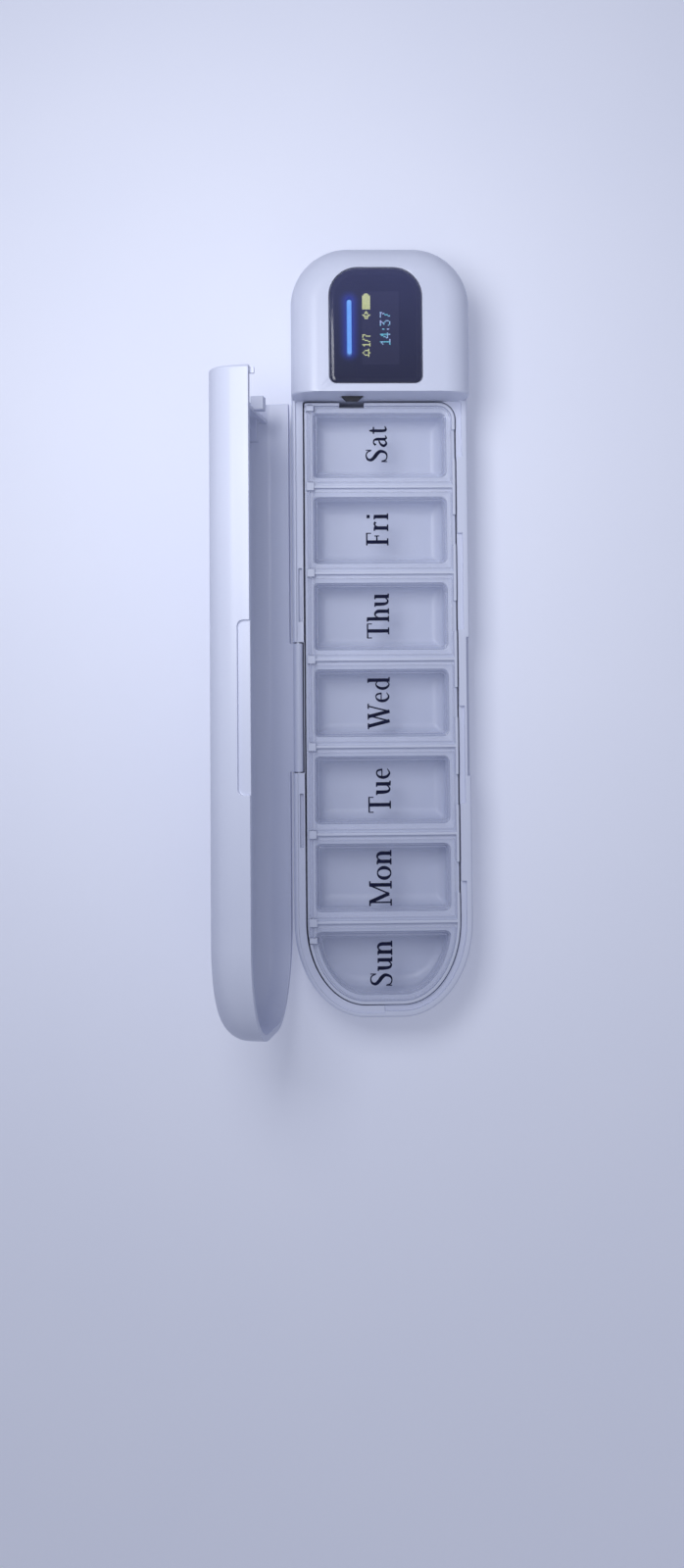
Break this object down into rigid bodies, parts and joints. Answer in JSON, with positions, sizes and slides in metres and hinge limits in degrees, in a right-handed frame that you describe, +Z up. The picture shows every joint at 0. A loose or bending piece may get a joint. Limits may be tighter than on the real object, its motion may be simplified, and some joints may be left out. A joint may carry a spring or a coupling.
{
  "type": "pill organizer",
  "caption": "Long flat pill box with clear day lids in a lift-out tray, a hinged cover swung open at the back, and an alarm head with a black display window.",
  "frame": {"origin": "middle of the flat bottom of the base, under the closed body", "axes": "+X towards the display head, +Y towards the hinge side, +Z up"},
  "size_m": [0.2285, 0.0752, 0.0658],
  "materials": {
    "white_shell": "satin moulded white",
    "inner_white": "moulded white",
    "clear_lid": "clear polished",
    "black_gloss": "polished smoked black",
    "black_plastic": "fine matt",
    "board_green": "solder mask",
    "steel": "plated",
    "cell_foil": "foil pouch",
    "light_blue": "lit light guide",
    "display_glass": "dark display glass",
    "flex_amber": "polyimide"
  },
  "bodies": {
    "base": {"base_shell": "white_shell", "head_cover": "white_shell", "display_window": "black_gloss", "display_frame": "black_plastic", "display_board": "board_green", "display_panel": "display_glass", "light_bar": "light_blue", "display_flex": "flex_amber", "main_board": "board_green", "battery": "cell_foil", "buzzer": "black_plastic", "usb_socket": "steel", "button_switch": "black_plastic", "nose_switch": "black_plastic", "case_screw_1": "steel", "case_screw_2": "steel", "case_screw_3": "steel", "case_screw_4": "steel", "board_screw_1": "steel", "board_screw_2": "steel", "board_screw_3": "steel", "frame_screw_1": "steel", "frame_screw_2": "steel", "hinge_pin_1": "steel", "hinge_pin_2": "steel"},
    "cover": {"cover_shell": "white_shell"},
    "tray": {"pill_tray": "inner_white"},
    "button": {"set_button": "white_shell"},
    "nose": {"sensor_nose": "black_plastic"},
    "lid_1": {"day_lid_1": "clear_lid"},
    "lid_2": {"day_lid_2": "clear_lid"},
    "lid_3": {"day_lid_3": "clear_lid"},
    "lid_4": {"day_lid_4": "clear_lid"},
    "lid_5": {"day_lid_5": "clear_lid"},
    "lid_6": {"day_lid_6": "clear_lid"},
    "lid_7": {"day_lid_7": "clear_lid"}
  },
  "joints": [
    {"name": "cover_hinge", "type": "hinge", "parent": "base", "child": "cover", "pos_m": [-0.0222, 0.025, 0.0158], "axis": [-1, 0, 0], "range_deg": [-101.5, 0]},
    {"name": "tray_lift", "type": "slide", "parent": "base", "child": "tray", "axis": [0, 0, 1], "range_m": [0, 0.02]},
    {"name": "lid_1_hinge", "type": "hinge", "parent": "tray", "child": "lid_1", "pos_m": [-0.0888, 0.021, 0.0175], "axis": [-1, 0, 0], "range_deg": [0, 100]},
    {"name": "lid_2_hinge", "type": "hinge", "parent": "tray", "child": "lid_2", "pos_m": [-0.073, 0.021, 0.0175], "axis": [-1, 0, 0], "range_deg": [0, 100]},
    {"name": "lid_3_hinge", "type": "hinge", "parent": "tray", "child": "lid_3", "pos_m": [-0.047, 0.021, 0.0175], "axis": [-1, 0, 0], "range_deg": [0, 100]},
    {"name": "lid_4_hinge", "type": "hinge", "parent": "tray", "child": "lid_4", "pos_m": [-0.021, 0.021, 0.0175], "axis": [-1, 0, 0], "range_deg": [0, 100]},
    {"name": "lid_5_hinge", "type": "hinge", "parent": "tray", "child": "lid_5", "pos_m": [0.005, 0.021, 0.0175], "axis": [-1, 0, 0], "range_deg": [0, 100]},
    {"name": "lid_6_hinge", "type": "hinge", "parent": "tray", "child": "lid_6", "pos_m": [0.031, 0.021, 0.0175], "axis": [-1, 0, 0], "range_deg": [0, 100]},
    {"name": "lid_7_hinge", "type": "hinge", "parent": "tray", "child": "lid_7", "pos_m": [0.05675, 0.021, 0.0175], "axis": [-1, 0, 0], "range_deg": [0, 100]},
    {"name": "button_press", "type": "slide", "parent": "base", "child": "button", "axis": [-1, 0, 0], "range_m": [0, 0.0005], "stiffness_N_per_m": 400},
    {"name": "nose_press", "type": "slide", "parent": "base", "child": "nose", "axis": [1, 0, 0], "range_m": [0, 0.0008], "stiffness_N_per_m": 250}
  ]
}
